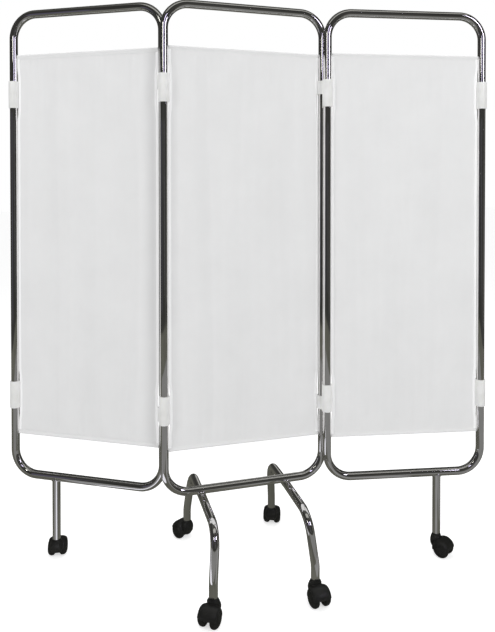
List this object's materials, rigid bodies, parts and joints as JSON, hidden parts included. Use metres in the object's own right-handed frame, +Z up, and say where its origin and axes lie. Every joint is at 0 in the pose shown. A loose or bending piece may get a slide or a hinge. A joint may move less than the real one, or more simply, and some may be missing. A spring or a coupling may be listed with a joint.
{
  "type": "ward privacy screen on wheels",
  "caption": "Folding ward privacy screen: bent chromed tube frames with white curtains, joined by nylon hinge clips, standing on black twin-wheel casters.",
  "frame": {"origin": "middle of the bounding box at floor level", "axes": "+Z up, +X along the centre frame to the right as seen from the front, the front faces -Y"},
  "size_m": [1.4656, 0.5468, 1.7202],
  "materials": {
    "chromed_tube": "bright chrome plate on round steel tube",
    "curtain_rod": "plain drawn steel",
    "curtain_cloth": "matt white woven cloth, sewn hems",
    "clip_nylon": "smooth white nylon",
    "caster_housing": "black moulded plastic, soft sheen",
    "caster_socket": "black moulded plastic",
    "caster_wheel": "black moulded plastic, soft sheen",
    "caster_steel": "zinc plated steel"
  },
  "bodies": {
    "centre": {"centre_frame": "chromed_tube", "centre_curtain": "curtain_cloth", "centre_bottom_rod": "curtain_rod", "centre_top_rod": "curtain_rod", "left_foot_tube": "chromed_tube", "right_foot_tube": "chromed_tube", "front_left_tube_socket": "caster_socket", "rear_left_tube_socket": "caster_socket", "front_right_tube_socket": "caster_socket", "rear_right_tube_socket": "caster_socket"},
    "left_clips": {"left_hinge_clip_bottom": "clip_nylon", "left_hinge_clip_top": "clip_nylon"},
    "right_clips": {"right_hinge_clip_bottom": "clip_nylon", "right_hinge_clip_top": "clip_nylon"},
    "left_wing": {"left_frame": "chromed_tube", "left_curtain": "curtain_cloth", "left_bottom_rod": "curtain_rod", "left_top_rod": "curtain_rod", "left_leg": "chromed_tube", "left_outer_clip_bottom": "clip_nylon", "left_outer_clip_top": "clip_nylon", "left_wing_tube_socket": "caster_socket"},
    "right_wing": {"right_frame": "chromed_tube", "right_curtain": "curtain_cloth", "right_bottom_rod": "curtain_rod", "right_top_rod": "curtain_rod", "right_leg": "chromed_tube", "right_outer_clip_bottom": "clip_nylon", "right_outer_clip_top": "clip_nylon", "right_wing_tube_socket": "caster_socket"},
    "front_left_caster": {"front_left_caster_housing": "caster_housing", "front_left_caster_stem": "caster_steel", "front_left_caster_axle": "caster_steel"},
    "front_left_wheel_a": {"front_left_wheel_a": "caster_wheel"},
    "front_left_wheel_b": {"front_left_wheel_b": "caster_wheel"},
    "rear_left_caster": {"rear_left_caster_housing": "caster_housing", "rear_left_caster_stem": "caster_steel", "rear_left_caster_axle": "caster_steel"},
    "rear_left_wheel_a": {"rear_left_wheel_a": "caster_wheel"},
    "rear_left_wheel_b": {"rear_left_wheel_b": "caster_wheel"},
    "front_right_caster": {"front_right_caster_housing": "caster_housing", "front_right_caster_stem": "caster_steel", "front_right_caster_axle": "caster_steel"},
    "front_right_wheel_a": {"front_right_wheel_a": "caster_wheel"},
    "front_right_wheel_b": {"front_right_wheel_b": "caster_wheel"},
    "rear_right_caster": {"rear_right_caster_housing": "caster_housing", "rear_right_caster_stem": "caster_steel", "rear_right_caster_axle": "caster_steel"},
    "rear_right_wheel_a": {"rear_right_wheel_a": "caster_wheel"},
    "rear_right_wheel_b": {"rear_right_wheel_b": "caster_wheel"},
    "left_wing_caster": {"left_wing_caster_housing": "caster_housing", "left_wing_caster_stem": "caster_steel", "left_wing_caster_axle": "caster_steel"},
    "left_wing_wheel_a": {"left_wing_wheel_a": "caster_wheel"},
    "left_wing_wheel_b": {"left_wing_wheel_b": "caster_wheel"},
    "right_wing_caster": {"right_wing_caster_housing": "caster_housing", "right_wing_caster_stem": "caster_steel", "right_wing_caster_axle": "caster_steel"},
    "right_wing_wheel_a": {"right_wing_wheel_a": "caster_wheel"},
    "right_wing_wheel_b": {"right_wing_wheel_b": "caster_wheel"}
  },
  "joints": [
    {"name": "left_clip_swing", "type": "hinge", "parent": "centre", "child": "left_clips", "pos_m": [-0.27919, -0.01865, 0.983], "axis": [0, 0, 1], "range_deg": [0, 90]},
    {"name": "left_wing_fold", "type": "hinge", "parent": "left_clips", "child": "left_wing", "pos_m": [-0.27919, 0.01135, 0.983], "axis": [0, 0, 1], "range_deg": [-145, 25]},
    {"name": "right_clip_swing", "type": "hinge", "parent": "centre", "child": "right_clips", "pos_m": [0.22082, -0.01865, 0.983], "axis": [0, 0, 1], "range_deg": [-10, 80]},
    {"name": "right_wing_fold", "type": "hinge", "parent": "right_clips", "child": "right_wing", "pos_m": [0.22602, -0.0482, 0.983], "axis": [0, 0, 1], "range_deg": [-155, 25]},
    {"name": "front_left_caster_swivel", "type": "hinge", "parent": "centre", "child": "front_left_caster", "pos_m": [-0.17619, -0.21865, 0.05], "axis": [0, 0, 1], "continuous": true},
    {"name": "front_left_wheel_a_roll", "type": "hinge", "parent": "front_left_caster", "child": "front_left_wheel_a", "pos_m": [-0.19063, -0.23782, 0.025], "axis": [0.7986, -0.6018, 0], "continuous": true},
    {"name": "front_left_wheel_b_roll", "type": "hinge", "parent": "front_left_caster", "child": "front_left_wheel_b", "pos_m": [-0.19063, -0.23782, 0.025], "axis": [0.7986, -0.6018, 0], "continuous": true},
    {"name": "rear_left_caster_swivel", "type": "hinge", "parent": "centre", "child": "rear_left_caster", "pos_m": [-0.17619, 0.18135, 0.05], "axis": [0, 0, 1], "continuous": true},
    {"name": "rear_left_wheel_a_roll", "type": "hinge", "parent": "rear_left_caster", "child": "rear_left_wheel_a", "pos_m": [-0.18855, 0.20192, 0.025], "axis": [-0.8572, -0.515, 0], "continuous": true},
    {"name": "rear_left_wheel_b_roll", "type": "hinge", "parent": "rear_left_caster", "child": "rear_left_wheel_b", "pos_m": [-0.18855, 0.20192, 0.025], "axis": [-0.8572, -0.515, 0], "continuous": true},
    {"name": "front_right_caster_swivel", "type": "hinge", "parent": "centre", "child": "front_right_caster", "pos_m": [0.11782, -0.21865, 0.05], "axis": [0, 0, 1], "continuous": true},
    {"name": "front_right_wheel_a_roll", "type": "hinge", "parent": "front_right_caster", "child": "front_right_wheel_a", "pos_m": [0.11991, -0.24256, 0.025], "axis": [0.9962, 0.0872, 0], "continuous": true},
    {"name": "front_right_wheel_b_roll", "type": "hinge", "parent": "front_right_caster", "child": "front_right_wheel_b", "pos_m": [0.11991, -0.24256, 0.025], "axis": [0.9962, 0.0872, 0], "continuous": true},
    {"name": "rear_right_caster_swivel", "type": "hinge", "parent": "centre", "child": "rear_right_caster", "pos_m": [0.11782, 0.18135, 0.05], "axis": [0, 0, 1], "continuous": true},
    {"name": "rear_right_wheel_a_roll", "type": "hinge", "parent": "rear_right_caster", "child": "rear_right_wheel_a", "pos_m": [0.12719, 0.20344, 0.025], "axis": [-0.9205, 0.3907, 0], "continuous": true},
    {"name": "rear_right_wheel_b_roll", "type": "hinge", "parent": "rear_right_caster", "child": "rear_right_wheel_b", "pos_m": [0.12719, 0.20344, 0.025], "axis": [-0.9205, 0.3907, 0], "continuous": true},
    {"name": "left_wing_caster_swivel", "type": "hinge", "parent": "left_wing", "child": "left_wing_caster", "pos_m": [-0.58964, 0.18557, 0.05], "axis": [0, 0, 1], "continuous": true},
    {"name": "left_wing_wheel_a_roll", "type": "hinge", "parent": "left_wing_caster", "child": "left_wing_wheel_a", "pos_m": [-0.58672, 0.20939, 0.025], "axis": [-0.9925, 0.1219, 0], "continuous": true},
    {"name": "left_wing_wheel_b_roll", "type": "hinge", "parent": "left_wing_caster", "child": "left_wing_wheel_b", "pos_m": [-0.58672, 0.20939, 0.025], "axis": [-0.9925, 0.1219, 0], "continuous": true},
    {"name": "right_wing_caster_swivel", "type": "hinge", "parent": "right_wing", "child": "right_wing_caster", "pos_m": [0.57662, -0.11002, 0.05], "axis": [0, 0, 1], "continuous": true},
    {"name": "right_wing_wheel_a_roll", "type": "hinge", "parent": "right_wing_caster", "child": "right_wing_wheel_a", "pos_m": [0.58862, -0.1308, 0.025], "axis": [0.866, 0.5, 0], "continuous": true},
    {"name": "right_wing_wheel_b_roll", "type": "hinge", "parent": "right_wing_caster", "child": "right_wing_wheel_b", "pos_m": [0.58862, -0.1308, 0.025], "axis": [0.866, 0.5, 0], "continuous": true}
  ]
}
